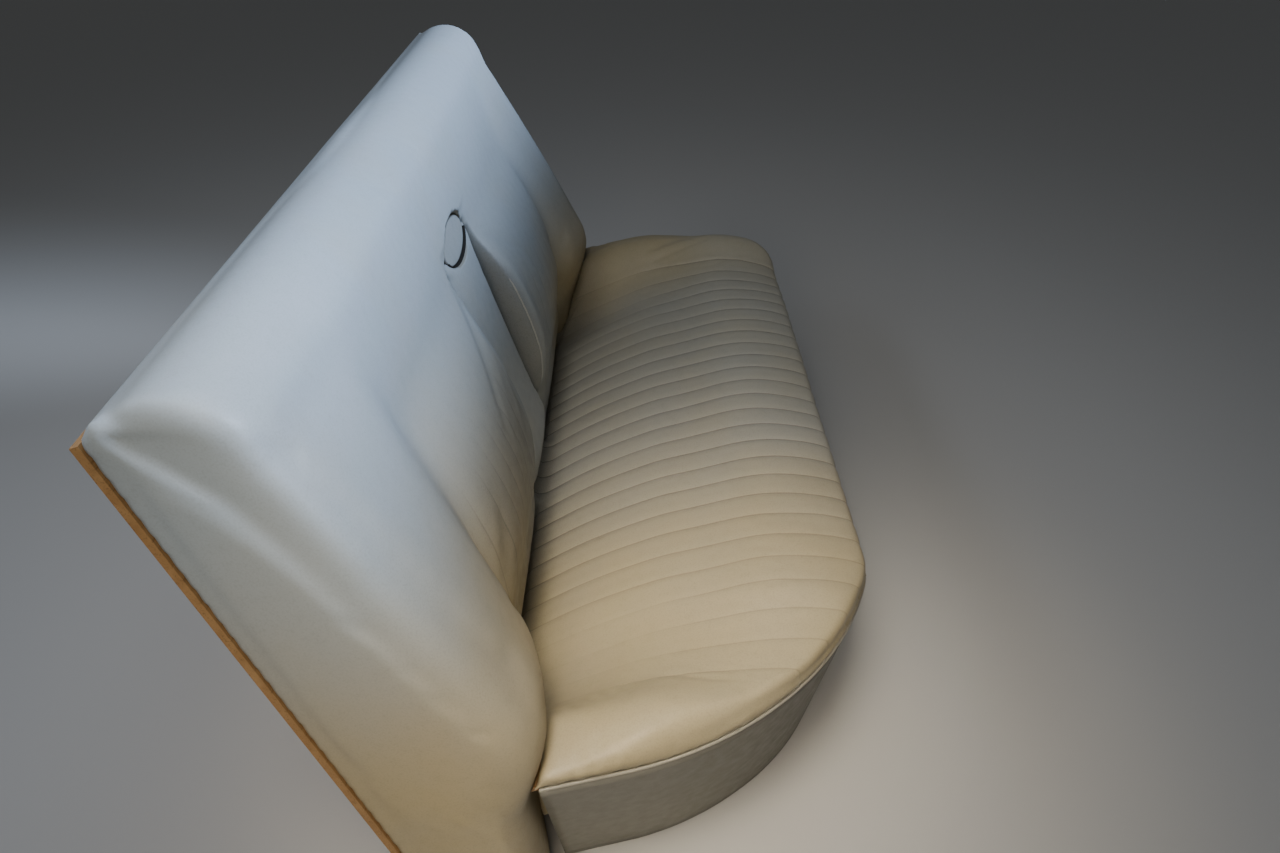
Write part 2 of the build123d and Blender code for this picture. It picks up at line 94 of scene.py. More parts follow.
# %% [markdown]
# ## Studio
# Daylight reaches the bench from its right-hand end and from behind, so its near end is the
# brightest and warmest part. Two warm soft lamps light that end. A cool one with a narrow spread
# lights the top of the backrest, two more stand overhead and behind, and a dim even sky fills the
# shadows. The floor is plain, so that the bench's own colours can be judged.


# %% Colours and shader nodes
def to_linear(code):
    """An sRGB hex colour as the linear values that a shader takes."""
    channels = [int(code[i : i + 2], 16) / 255 for i in (1, 3, 5)]
    linear = [c / 12.92 if c <= 0.04045 else ((c + 0.055) / 1.055) ** 2.4 for c in channels]
    return (*linear, 1.0)


def add(tree, kind, settings=None, values=None, links=None):
    """Adds a shader node with its settings, its socket values and the links into its sockets."""
    node = tree.nodes.new("ShaderNode" + kind)
    for key, value in (settings or {}).items():
        setattr(node, key, value)
    for key, value in (values or {}).items():
        node.inputs[key].default_value = value
    for key, source in (links or {}).items():
        tree.links.new(source, node.inputs[key])
    return node


def new_material(name):
    """A named material with its node tree and its shader."""
    material = bpy.data.materials.new(name)
    material.use_nodes = True
    return material, material.node_tree, material.node_tree.nodes["Principled BSDF"]


# %% Floor and lamps
def lamp(name, at, towards, size, watts, colour, spread=180):
    """A soft rectangular lamp that faces a point; a small spread lights only what it faces."""
    light = bpy.data.lights.new(name, "AREA")
    light.shape = "RECTANGLE"
    light.size, light.size_y = size
    light.spread = radians(spread)
    light.energy = watts
    light.color = to_linear(colour)[:3]
    holder = bpy.data.objects.new(name, light)
    holder.location = at
    holder.rotation_mode = "QUATERNION"
    holder.rotation_quaternion = (Vector(towards) - Vector(at)).to_track_quat("-Z", "Y")
    scene.collection.objects.link(holder)


lamp("near_lamp", (-1.75, 0.1, 1.25), (-0.65, -0.1, 0.3), (0.6, 0.6), 2, "#FFF0DA", spread=70)
lamp("near_high_lamp", (-1.15, 0.05, 1.8), (-0.5, -0.13, 0.3), (0.5, 0.4), 1.35, "#FFF1DC", spread=36)
lamp("backrest_lamp", (0.15, -1.3, 1.6), (0.15, 0.25, 0.92), (1.9, 0.15), 7, "#D6E6FF", spread=30)
lamp("overhead_lamp", (-0.3, 0.0, 2.0), (-0.05, -0.1, 0.3), (1.0, 0.6), 6, "#E9EFF8")
lamp("rear_lamp", (-0.3, 1.5, 1.8), (0.0, 0.2, 0.7), (1.4, 0.5), 10, "#E2ECFF")

world = bpy.data.worlds.new("studio")
world.use_nodes = True
world.node_tree.nodes["Background"].inputs["Color"].default_value = to_linear("#DDE1E6")
world.node_tree.nodes["Background"].inputs["Strength"].default_value = 0.1
scene.world = world

paper, _, paper_shader = new_material("pale_studio_paper")
paper_shader.inputs["Base Color"].default_value = to_linear("#C9C8C4")
paper_shader.inputs["Roughness"].default_value = 0.9

bm = bmesh.new()
bmesh.ops.create_grid(bm, x_segments=1, y_segments=1, size=12.0)
floor_mesh = bpy.data.meshes.new("floor")
bm.to_mesh(floor_mesh)
bm.free()
floor_mesh.materials.append(paper)
floor = bpy.data.objects.new("floor", floor_mesh)
scene.collection.objects.link(floor)
floor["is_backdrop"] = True

# %% [markdown]
# ## Leatherette
# The covers are leatherette: woven cotton coated with soft vinyl and rolled to a fine leather
# grain. It is matt with a slight gloss, its grain pits hold a little dirt, and daylight has
# yellowed the cushion more than the back. One function makes the tints, so that grain, dirt and
# seams agree between the pieces. The pattern sits on Object coordinates, which are metres. Each
# piece also paints three attributes on its points. Age goes from fresh to yellowed, and it also
# carries painted light: a cool tint high on the backrest where sky light falls, and a warm tint
# low down and at the cushion's lit near end. Seam is 1 on a stitched or heat-sealed line. Soil is
# where dust gathers, and it also carries painted shade in creases, in recesses and on faces
# turned from the light. Attributes are used because these follow the shape of a piece, which no
# pattern in space does.

# %% Leatherette finish
GRAIN_SIZE = 1.6
MOTTLE_SIZE = 16.0
CLOUD_SIZE = 160.0
SEAM_DARKNESS = 0.62


def leatherette(name, fresh_and_cool_tint, aged_and_warm_tint, soiled_and_shaded, roughness):
    """Leather-grained vinyl, drawn at its real grain of about 1.6 mm."""
    material, tree, shader = new_material(name)
    place = add(tree, "TexCoord").outputs["Object"]
    clouds = add(tree, "TexNoise", None, {"Scale": 1000 / CLOUD_SIZE, "Detail": 3.0}, {"Vector": place})
    mottle = add(tree, "TexNoise", None, {"Scale": 1000 / MOTTLE_SIZE, "Detail": 5.0}, {"Vector": place})
    grain = add(tree, "TexVoronoi", {"feature": "SMOOTH_F1"}, {"Scale": 1000 / GRAIN_SIZE}, {"Vector": place})
    age_and_light_tint, seam, soil_and_shade = (
        add(tree, "Attribute", {"attribute_name": key}).outputs["Fac"] for key in ("age_and_light_tint", "seam", "soil_and_shade")
    )
    drift = add(tree, "MapRange", None, {1: 0.3, 2: 0.7, 3: -0.08, 4: 0.08}, {0: clouds.outputs["Fac"]})
    tint_share = add(tree, "Math", {"operation": "ADD", "use_clamp": True}, None, {0: age_and_light_tint, 1: drift.outputs[0]})
    tint = add(
        tree, "Mix", {"data_type": "RGBA"}, {6: to_linear(fresh_and_cool_tint), 7: to_linear(aged_and_warm_tint)}, {0: tint_share.outputs[0]}
    )
    specks = add(tree, "MapRange", None, {1: 0.5, 2: 0.8, 3: 0.0, 4: 0.05}, {0: mottle.outputs["Fac"]})
    pits = add(tree, "MapRange", None, {1: 0.35, 2: 0.75, 3: 0.0, 4: 0.12}, {0: grain.outputs["Distance"]})
    dust = add(tree, "Math", {"operation": "ADD"}, None, {0: specks.outputs[0], 1: pits.outputs[0]})
    line = add(tree, "Math", {"operation": "MULTIPLY_ADD"}, {1: SEAM_DARKNESS}, {0: seam, 2: dust.outputs[0]})
    dirt_and_shade = add(tree, "Math", {"operation": "ADD", "use_clamp": True}, None, {0: line.outputs[0], 1: soil_and_shade})
    colour = add(
        tree, "Mix", {"data_type": "RGBA"}, {7: to_linear(soiled_and_shaded)}, {0: dirt_and_shade.outputs[0], 6: tint.outputs[2]}
    )
    gloss = add(
        tree,
        "MapRange",
        values={1: 0.3, 2: 0.7, 3: roughness - 0.06, 4: roughness + 0.08},
        links={0: mottle.outputs["Fac"]},
    )
    relief = add(
        tree,
        "Bump",
        values={"Strength": 0.25, "Distance": 0.12 * MM},
        links={"Height": grain.outputs["Distance"]},
    )
    waves = add(
        tree,
        "Bump",
        values={"Strength": 0.3, "Distance": 0.5 * MM},
        links={"Height": mottle.outputs["Fac"], "Normal": relief.outputs[0]},
    )
    tree.links.new(colour.outputs[2], shader.inputs["Base Color"])
    tree.links.new(gloss.outputs[0], shader.inputs["Roughness"])
    tree.links.new(waves.outputs[0], shader.inputs["Normal"])
    return material


# Tints: the fresh ones are the covers' colours, and the backrest's blue grey also paints the cool sky light
# on its top. The yellowed ones also paint warm light, and the dark ones mix dust with painted shade.
cushion_vinyl = leatherette("cushion_leatherette", "#A7A69D", "#B5A57C", "#3C372C", 0.46)
backrest_vinyl = leatherette("backrest_leatherette", "#A3AFB8", "#B4A47C", "#50504C", 0.5)
skirt_vinyl = leatherette("skirt_leatherette", "#80807A", "#7F7B6B", "#45423A", 0.5)
print("leatherettes:", cushion_vinyl.name, backrest_vinyl.name, skirt_vinyl.name)

# %% [markdown]
# ## Black in the slot
# The armrest's side of the finger scoop gets a matt black strip, which is painted shade: it makes
# the slot behind the armrest's top edge dark. It is drawn as black wool felt, pressed fibres with
# no weave, which is a guess. To the eye felt is a matt black that swallows light. A plain black
# would look like a hole, so it gets a high roughness and a noise for its fibres. Real fibres are
# far finer than the 0.9 mm drawn here, which is as coarse as they need to be to show.

# %% Black for the slot's painted shade
SHADE_SPECK_SIZE = 0.9

# Painted shade: a near-black that stands for the dark of the slot.
slot_shade_black, tree, shader = new_material("black_slot_shade")
place = add(tree, "TexCoord").outputs["Object"]
shade_noise = add(tree, "TexNoise", values={"Scale": 1000 / SHADE_SPECK_SIZE, "Detail": 4.0}, links={"Vector": place})
shade_tint = add(
    tree,
    "Mix",
    {"data_type": "RGBA"},
    {6: to_linear("#0C0C0C"), 7: to_linear("#1E1D1B")},
    {0: shade_noise.outputs["Fac"]},
)
relief = {"Strength": 0.5, "Distance": 0.3 * MM}
shade_bump = add(tree, "Bump", None, relief, {"Height": shade_noise.outputs["Fac"]})
tree.links.new(shade_tint.outputs[2], shader.inputs["Base Color"])
tree.links.new(shade_bump.outputs[0], shader.inputs["Normal"])
shader.inputs["Roughness"].default_value = 0.95
print("felt:", slot_shade_black.name)

# %% [markdown]
# ## How a stuffed piece is made
# A cover over springs and wadding is taut, rounded at its edges and nowhere flat. The CAD solid
# has the right size but hard ruled faces, so a copy of it is merged, remade with even faces of 4
# to 6 mm, smoothed like clay, and then blown up for a moment as cloth under pressure. A point may
# move only a few millimetres, so the piece stays in its CAD space, and points that rest on a
# board or lie hidden stay where they are. Seams come last, because the remesh would erase them.


# %% Soft piece helpers
def new_object(name, mesh):
    """Puts a mesh in the scene as an object at the origin."""
    obj = bpy.data.objects.new(name, mesh)
    scene.collection.objects.link(obj)
    return obj


def soft_copy(name, *sources):
    """One new object from copies of CAD nodes, with their loose triangles merged."""
    bm = bmesh.new()
    for source in sources:
        bm.from_mesh(nodes[source].data)
    bmesh.ops.remove_doubles(bm, verts=bm.verts, dist=0.01 * MM)
    mesh = bpy.data.meshes.new(name)
    bm.to_mesh(mesh)
    bm.free()
    return new_object(name, mesh)


def make_final(obj):
    """Makes an object's modifiers part of its mesh."""
    evaluated = obj.evaluated_get(bpy.context.evaluated_depsgraph_get())
    mesh = bpy.data.meshes.new_from_object(evaluated)
    obj.modifiers.clear()
    obj.data = mesh


def remesh(obj, voxel):
    """Even faces of one voxel each over the whole solid."""
    modifier = obj.modifiers.new("remesh", "REMESH")
    modifier.mode = "VOXEL"
    modifier.voxel_size = voxel * MM
    make_final(obj)


# %% Points as numbers
def points_of(obj):
    """The object's points as rows of x, y, z in millimetres."""
    values = np.empty(len(obj.data.vertices) * 3)
    obj.data.vertices.foreach_get("co", values)
    return values.reshape(-1, 3) / MM


def normals_of(obj):
    """The outward directions at the object's points."""
    values = np.empty(len(obj.data.vertices) * 3, np.float32)
    obj.data.vertex_normals.foreach_get("vector", values)
    return values.reshape(-1, 3).astype(float)


def move_points(obj, points):
    """Sets the object's points, given in millimetres."""
    obj.data.vertices.foreach_set("co", (points * MM).ravel())
    obj.data.update()


def ramp(values, start, end):
    """0 before start and 1 after end, with a smooth change between them."""
    share = np.clip((values - start) / (end - start), 0.0, 1.0)
    return share * share * (3 - 2 * share)


# %% Smoothing and swelling
PRESSURE = 4.0
FRAMES = 20


def smooth(obj, free, rounds):
    """Rubs the free points smooth and leaves the others."""
    bm = bmesh.new()
    bm.from_mesh(obj.data)
    bm.verts.ensure_lookup_table()
    chosen = [bm.verts[i] for i in np.flatnonzero(free > 0.5)]
    for _ in range(rounds):
        bmesh.ops.smooth_vert(bm, verts=chosen, factor=0.5, use_axis_x=True, use_axis_y=True, use_axis_z=True)
    bm.to_mesh(obj.data)
    bm.free()
    obj.data.update()


def inflate(obj, free, cap):
    """Blows the cover up as cloth; free says how much of its movement each point keeps."""
    start = points_of(obj)
    pins = obj.vertex_groups.new(name="pins")
    pins.add([int(i) for i in np.flatnonzero(free < 0.05)], 1.0, "REPLACE")
    cloth = obj.modifiers.new("cloth", "CLOTH")
    cloth.settings.vertex_group_mass = "pins"
    cloth.settings.use_pressure = True
    cloth.settings.uniform_pressure_force = PRESSURE
    cloth.settings.effector_weights.gravity = 0.0
    cloth.collision_settings.use_collision = False
    for number in range(1, FRAMES + 1):
        scene.frame_set(number)
    make_final(obj)
    obj.vertex_groups.clear()
    shift = points_of(obj) - start
    scene.frame_set(1)
    length = np.maximum(np.linalg.norm(shift, axis=1), 1e-9)
    shift *= (np.minimum(length, cap) / length * free)[:, None]
    move_points(obj, start + shift)
    print(obj.name, "swelled by up to", round(float(np.linalg.norm(shift, axis=1).max()), 1), "mm")


# %% Sewn lines and paint
def cut_lines(obj, seams, half_width):
    """Edge loops at each seam's x and on both sides of it, so that a sewn line is crisp."""
    bm = bmesh.new()
    bm.from_mesh(obj.data)
    centres = np.array([face.calc_center_median().x for face in bm.faces])
    faces = list(bm.faces)
    for seam in seams:
        near = np.flatnonzero(abs(centres - seam * MM) < (half_width + 9) * MM)
        picked = [faces[i] for i in near if faces[i].is_valid]
        edges = {edge for face in picked for edge in face.edges}
        verts = {vert for face in picked for vert in face.verts}
        geometry = picked + list(edges) + list(verts)
        for offset in (-half_width, half_width, 0.0):
            geometry = bmesh.ops.bisect_plane(
                bm,
                geom=geometry,
                dist=0.4 * MM,
                plane_co=((seam + offset) * MM, 0.0, 0.0),
                plane_no=(1.0, 0.0, 0.0),
                use_snap_center=True,
            )["geom"]
    bm.to_mesh(obj.data)
    bm.free()
    obj.data.update()


def paint(obj, name, values):
    """Stores one number per point for the material to read."""
    attribute = obj.data.attributes.new(name, "FLOAT", "POINT")
    attribute.data.foreach_set("value", values.astype(np.float32))


def painted(obj, age_and_light_tint, soil_and_shade=0.0):
    """Age with painted light tint and soil with painted shade, each one number or one per point, for a piece
    with no seams.
    """
    for name, value in (("seam", 0.0), ("age_and_light_tint", age_and_light_tint), ("soil_and_shade", soil_and_shade)):
        paint(obj, name, np.full(len(obj.data.vertices), 1.0) * value)


# %% Finishing a piece
def finish_piece(obj, material, body, slot, *replaced):
    """Smooth shading, its finish, its body and the CAD nodes that it stands for; slot is not used."""
    obj.data.materials.clear()
    obj.data.materials.append(material)
    obj.data.polygons.foreach_set("use_smooth", [True] * len(obj.data.polygons))
    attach(obj, body)
    if replaced:
        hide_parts(*replaced)
    print(obj.name, "has", sum(len(p.vertices) - 2 for p in obj.data.polygons), "triangles")


# %% [markdown]
# ## Cushion
# The cushion is a stuffed pad with 25 channels sewn from front to back, a nose that rolls over to
# the piping, and two plain end rolls that stand higher than the sat-on middle. A channel is fullest
# halfway between its seams and drops steeply beside them, which a high power of the distance from
# its middle gives. Where the cover turns over the nose the channels flatten towards the piping.

# %% Cushion
PLEAT_PITCH = 45.0
PLEAT_COUNT = 25
PLEAT_DEPTH = 2.4
PLEATS_END = PLEAT_COUNT * PLEAT_PITCH / 2
SEAM_HALF_WIDTH = 1.6
PIPING_TOP = 288.0
CUSHION_REAR = 84.0
CENTRE_CROWN = 19.0
ARMREST_TUCK = 34.0
TAIL_CLEAR = 67.0
RECLINE = radians(16.5)
FACE_Y = 75.0
FACE_Z = 300.0
PIVOT_U = -13.0
PIVOT_W = 62.0
VOXEL = 6.0
TOP_ROUNDS = 26
END_ROUNDS = 80
COVER_ROUNDS = 14
CUSHION_SWELL = 4.0

pleat_seams = [(i - PLEAT_COUNT / 2) * PLEAT_PITCH for i in range(PLEAT_COUNT + 1)]


def channel(x):
    """How full a sewn channel is at x: 0 at its seams and 1 in the middle."""
    across = (x / PLEAT_PITCH + 0.5) % 1.0
    return 1.0 - abs(2.0 * across - 1.0) ** 4


def on_seam(x, seams, half_width):
    """1 on a seam's own line of points and 0 beside it."""
    nearest = np.min([abs(x - seam) for seam in seams], axis=0)
    return np.clip(1.0 - nearest / half_width, 0.0, 1.0)


cushion = soft_copy("cushion", "cushion_pad")
remesh(cushion, VOXEL)
points, normals = points_of(cushion), normals_of(cushion)
above_piping = ramp(points[:, 2], PIPING_TOP, PIPING_TOP + 16)
facing_up = ramp(normals[:, 2], 0.0, 0.35)
before_rear = 1 - ramp(points[:, 1], CUSHION_REAR - 9, CUSHION_REAR - 2)
over_piping = above_piping * (normals[:, 2] > -0.3)
over_well = facing_up * (points[:, 2] > 150)
free = np.maximum(over_piping, over_well) * before_rear
topside = free * (normals[:, 2] > 0.7)
smooth(cushion, topside, TOP_ROUNDS)
smooth(cushion, topside * (abs(points[:, 0]) > 450), END_ROUNDS)
smooth(cushion, free, COVER_ROUNDS)
inflate(cushion, free, CUSHION_SWELL)
print("cushion points:", len(points))

# %% [markdown]
# ## Shape of the cushion's top
# The cushion's middle is crowned over its springs, and its near end lies lower than the far one.
# Under the armrest the rear edge runs back and up towards the armrest's round foot, but never into
# the circle that the foot turns in. Each of these is a smooth move of the points, which leaves no
# step in the surface.

# %% The sat-on shape of the cushion
points = points_of(cushion)
x, y, z = points.T
facing_up = ramp(normals_of(cushion)[:, 2], 0.0, 0.4)
middle = 1 - ramp(abs(x), 380, 560)
fullness = np.exp(-(((y + 15) / np.where(y < -15, 140, 120)) ** 2))
z += CENTRE_CROWN * middle * fullness * facing_up
sunk = 0.22 * ramp(-x, 420, 520) + 0.08 * ramp(-x, 560, 650)
z -= (z - PIPING_TOP) * sunk * (z > PIPING_TOP)
under_armrest = 1 - ramp(abs(x), 82, 91)
tucked = ramp(y, CUSHION_REAR - 24, CUSHION_REAR) * (z < 300) * (z > 120)
y += tucked * ARMREST_TUCK * under_armrest
pivot_y = FACE_Y + sin(RECLINE) * PIVOT_U + cos(RECLINE) * PIVOT_W
pivot_z = FACE_Z + cos(RECLINE) * PIVOT_U - sin(RECLINE) * PIVOT_W
below_tail = pivot_z - np.sqrt(np.maximum(TAIL_CLEAR**2 - (y - pivot_y) ** 2, 0.0))
lifted = np.minimum(z + 22 * ramp(y, 74, 108), below_tail)
z += np.maximum(lifted - z, 0.0) * under_armrest * facing_up
move_points(cushion, np.stack((x, y, z), axis=1))

# %% Channels of the cushion
PUCKER_PITCH = 19.0

cut_lines(cushion, pleat_seams, SEAM_HALF_WIDTH)
points, normals = points_of(cushion), normals_of(cushion)
x, y, z = points.T
across = 1 - ramp(abs(x), PLEATS_END, PLEATS_END + 6)
outside = np.maximum(ramp(normals[:, 2], -0.1, 0.3), (z > PIPING_TOP) * (normals[:, 1] < 0.3))
over_nose = 0.35 + 0.65 * ramp(z, PIPING_TOP + 4, PIPING_TOP + 34)
over_nose = np.where((y < -330) | (x < -400), over_nose, 1.0)
taut = 1 - 0.6 * ramp(-x, 120, 480) - 0.75 * ramp(x, 180, 460) * ramp(y, -230, -70)
pleats = across * outside * over_nose * (1 - ramp(y, 70, 95)) * taut
swell = pleats * PLEAT_DEPTH * (channel(x) - 1)
unevenness = 0.9 * np.sin(x / 71 + 1.3) * np.sin(y / 53) + 0.6 * np.sin(x / 37 + y / 45)
height = z - PIPING_TOP
puckers = np.sin((y + 0.6 * height) * 2 * pi / PUCKER_PITCH) * np.exp(-(((y + 35) / 45) ** 2))
puckers *= (x < -560) * ramp(height, 2, 8) * (1 - ramp(height, 16, 42))
swell += unevenness * outside * ramp(z, 300, 330) + 0.9 * puckers
move_points(cushion, points + normals * swell[:, None])
paint(cushion, "seam", pleats * on_seam(x, pleat_seams, SEAM_HALF_WIDTH))
# Yellowed towards both ends by sun; towards the near end the same tint also paints the warm light that falls
# there.
sunned_and_warm_lit = np.maximum(ramp(-x, 20, 420), ramp(x, 430, 620) * (1 - 0.6 * ramp(-y, 120, 300)))
paint(cushion, "age_and_light_tint", 0.15 + 0.6 * sunned_and_warm_lit)
# Painted shade: darker along the rear edge in the crease by the backrest, and over the rear of the far half,
# where the wing's shade falls.
paint(cushion, "soil_and_shade", 0.55 * np.maximum(ramp(y, 30, 84), ramp(y, -60, 40) * ramp(x, 330, 480)))
finish_piece(cushion, cushion_vinyl, "bench", "cushion_leatherette", "cushion_pad")

# %% [markdown]
# ## Backrest
# One cover runs over the backrest: two padded lobes beside the armrest's recess, a rolled top, and
# the wings that wrap forward round the cushion's ends. The three CAD solids touch, so remeshing
# them together gives one skin. The lobes are sewn in the same channels as the cushion, and these
# fade out below the plain upper panel. A deeper seam divides each lobe from its wing.

# %% Backrest
LOBE_HALF = 495.0
ARMREST_TOP = 340.0
PLEATS_FADE = (440.0, 560.0)
LOBE_PLEAT_DEPTH = 0.8
WING_SEAM_DIP = 4.5
WING_SEAM_LINE = 2.5
CREASE_OVERHANG = 11.0
BACKREST_SWELL = 4.0


def lean_frame(points):
    """Heights up the backrest's face and depths behind it."""
    y, z = points[:, 1] - FACE_Y, points[:, 2] - FACE_Z
    return sin(RECLINE) * y + cos(RECLINE) * z, cos(RECLINE) * y - sin(RECLINE) * z


LEAN = Matrix(
    (
        (1.0, 0.0, 0.0, 0.0),
        (0.0, sin(RECLINE), cos(RECLINE), FACE_Y),
        (0.0, cos(RECLINE), -sin(RECLINE), FACE_Z),
        (0.0, 0.0, 0.0, 1.0),
    )
)

# %% [markdown]
# ## Finger scoop
# Above the armrest an oval hollow lets fingers behind the armrest's top edge. One outline makes the
# cutter that opens the backrest and the armrest, with a flared rim for the turned-in leatherette,
# and later the panel that closes the hollow's floor.

# %% Outline of the scoop
SCOOP_U = 347.0
SCOOP_HALF = 77.0
SCOOP_RISE = 31.0
SCOOP_STEPS = 64


def scoop_face(bm):
    """The scoop's outline as one face in x and u, in millimetres, about its own middle."""
    ring = bmesh.ops.create_circle(bm, segments=SCOOP_STEPS, radius=1.0, cap_ends=True)["verts"]
    bmesh.ops.scale(bm, verts=ring, vec=(SCOOP_HALF, SCOOP_RISE, 1.0))
    return ring[0].link_faces[0]


def lean_object(bm, name):
    """Moves a shape from the scoop's own frame to the reclined backrest, as an object."""
    bmesh.ops.translate(bm, verts=bm.verts, vec=(0.0, SCOOP_U, 0.0))
    bmesh.ops.transform(bm, verts=bm.verts, matrix=Matrix.Scale(MM, 4) @ LEAN)
    bmesh.ops.recalc_face_normals(bm, faces=bm.faces)
    mesh = bpy.data.meshes.new(name)
    bm.to_mesh(mesh)
    bm.free()
    return new_object(name, mesh)


def scoop_prism(rows, low=-60.0, high=60.0):
    """Solid with the scoop's outline; a row is a depth and how much wider the outline is there."""
    bm = bmesh.new()
    front = scoop_face(bm)
    size, ring, depth = Vector((1.0, 1.0)), bm.verts[:], 0.0
    for next_depth, wider in rows:
        next_size = Vector((1 + wider / SCOOP_HALF, 1 + wider / SCOOP_RISE))
        bmesh.ops.translate(bm, verts=ring, vec=(0.0, 0.0, next_depth - depth))
        bmesh.ops.scale(bm, verts=ring, vec=(next_size.x / size.x, next_size.y / size.y, 1.0))
        depth, size = next_depth, next_size
        if next_depth != rows[-1][0]:
            grown = bmesh.ops.extrude_face_region(bm, geom=[front])["geom"]
            if next_depth != rows[0][0]:
                bmesh.ops.delete(bm, geom=[front], context="FACES_ONLY")
            ring = [item for item in grown if isinstance(item, bmesh.types.BMVert)]
            front = next(item for item in grown if isinstance(item, bmesh.types.BMFace))
    for level, normal in ((low, (0.0, -1.0, 0.0)), (high, (0.0, 1.0, 0.0))):
        whole = bm.verts[:] + bm.edges[:] + bm.faces[:]
        cut = bmesh.ops.bisect_plane(
            bm, geom=whole, plane_co=(0.0, level, 0.0), plane_no=normal, clear_outer=True
        )
        rim = [item for item in cut["geom_cut"] if isinstance(item, bmesh.types.BMEdge)]
        bmesh.ops.holes_fill(bm, edges=rim)
    return lean_object(bm, "scoop")


def inside_scoop(x, height):
    """About how far a point is inside the scoop's outline, in millimetres."""
    across, up = x / SCOOP_HALF, (height - SCOOP_U) / SCOOP_RISE
    reach = np.hypot(across, up)
    return (1 - reach) * reach / np.maximum(np.hypot(across / SCOOP_HALF, up / SCOOP_RISE), 1e-9)


def joined(obj, *others):
    """Adds the others' meshes to the object's and removes the others."""
    bm = bmesh.new()
    for part in (obj, *others):
        bm.from_mesh(part.data)
    bm.to_mesh(obj.data)
    bm.free()
    for part in others:
        bpy.data.objects.remove(part)


def cut_with(obj, cutter):
    """Takes the cutter's shape out of the object and removes the cutter."""
    modifier = obj.modifiers.new("cut", "BOOLEAN")
    modifier.operation = "DIFFERENCE"
    modifier.solver = "EXACT"
    modifier.object = cutter
    make_final(obj)
    bpy.data.objects.remove(cutter)


RIM = ((-40.0, 2.8), (-0.5, 2.8), (0.6, 1.5), (2.0, 0.5), (5.0, 0.0))
FILLER = ((0.4, 7.0), (40.0, 7.0))
HOLLOW_DEPTH = 50.0
print("scoop, mm:", 2 * SCOOP_HALF, "by", 2 * SCOOP_RISE)

# %% [markdown]
# ## Body of the backrest
# The CAD's own scoop has another outline, so it is filled before the remesh and the oval is cut at
# the end, through the finished cover. The recess's edges are smoothed least, because the armrest
# has to fit between them.

# %% Backrest body
backrest = soft_copy("backrest", "backrest_pad", "backrest_wing_left", "backrest_wing_right")
joined(backrest, scoop_prism(FILLER, low=ARMREST_TOP + 6.5 - SCOOP_U))
remesh(backrest, VOXEL)
points, normals = points_of(backrest), normals_of(backrest)
height, depth = lean_frame(points)
free = 1 - ramp(depth, 95, 118)
recess_top = (abs(points[:, 0]) < 110) * (abs(height - ARMREST_TOP - 5) < 20)
smooth(backrest, free * ~recess_top, 8)
smooth(backrest, free, 4)
by_recess = (abs(points[:, 0]) < 104) * (height < ARMREST_TOP + 20)
low_front = (points[:, 2] < 230) * (normals[:, 1] < -0.3)
settled = free * ~(by_recess | low_front)
smooth(backrest, settled, 22)
inflate(backrest, settled, BACKREST_SWELL)
smooth(backrest, settled * (normals[:, 1] < -0.5) * (points[:, 2] < 620), 8)
smooth(backrest, (abs(points[:, 2] - 232) < 34) * (normals[:, 1] < -0.3) * ~by_recess, 14)

# %% Channels and seams of the backrest
lobe_seams = [seam for seam in pleat_seams if 115 < abs(seam) < 480]
wing_seams = [-LOBE_HALF - 1, LOBE_HALF + 1]
cut_lines(backrest, lobe_seams + wing_seams, SEAM_HALF_WIDTH)
points, normals = points_of(backrest), normals_of(backrest)
x, y, z = points.T
facing_front = ramp(-normals[:, 1], 0.1, 0.5)
on_lobe = ramp(abs(x), 108, 116) * (1 - ramp(abs(x), 474, 490))
pleats = on_lobe * facing_front * (1 - ramp(z, *PLEATS_FADE)) * ramp(z, 180, 230)
swell = pleats * LOBE_PLEAT_DEPTH * (channel(x) - 1)
wing_line = facing_front * (1 - ramp(z, 370, 560))
beside = np.clip(1 - abs(abs(x) - LOBE_HALF - 1) / 14, 0, 1) ** 2
sewn = on_seam(x, wing_seams, SEAM_HALF_WIDTH)
swell -= wing_line * (WING_SEAM_DIP * beside + WING_SEAM_LINE * sewn)
unevenness = 0.8 * np.sin(x / 83 + 0.4) * np.sin(z / 61) + 0.5 * np.sin(x / 41 - z / 57)
points += normals * (swell + unevenness * facing_front)[:, None]
lobe_height = ramp(z, 280, 340) * (1 - ramp(z, 520, 600))
inner_edge = np.exp(-(((abs(x) - 104) / 30) ** 2)) * ramp(-normals[:, 1], -0.2, 0.3)
points[:, 1] -= inner_edge * lobe_height * np.where(x > 0, 10.0, -7.0)
over_crease = ramp(z, 196, 226) * (1 - ramp(z, 250, 315)) * facing_front
points[:, 1] -= CREASE_OVERHANG * over_crease * ramp(abs(x), 98, 120) * (1 - ramp(abs(x), 470, 540))
move_points(backrest, points)
paint(backrest, "seam", pleats * 0.5 * on_seam(x, lobe_seams, SEAM_HALF_WIDTH) + wing_line * sewn)
# Painted light: a cool tint high up, where sky light falls, turning to a warm tan lower down and towards the
# wings.
cool_tint_from = np.where(x < -150, 680, 560)
paint(backrest, "age_and_light_tint", 0.9 * (1 - ramp(z, 300, cool_tint_from)) * (0.35 + 0.65 * ramp(abs(x), 150, 420)))
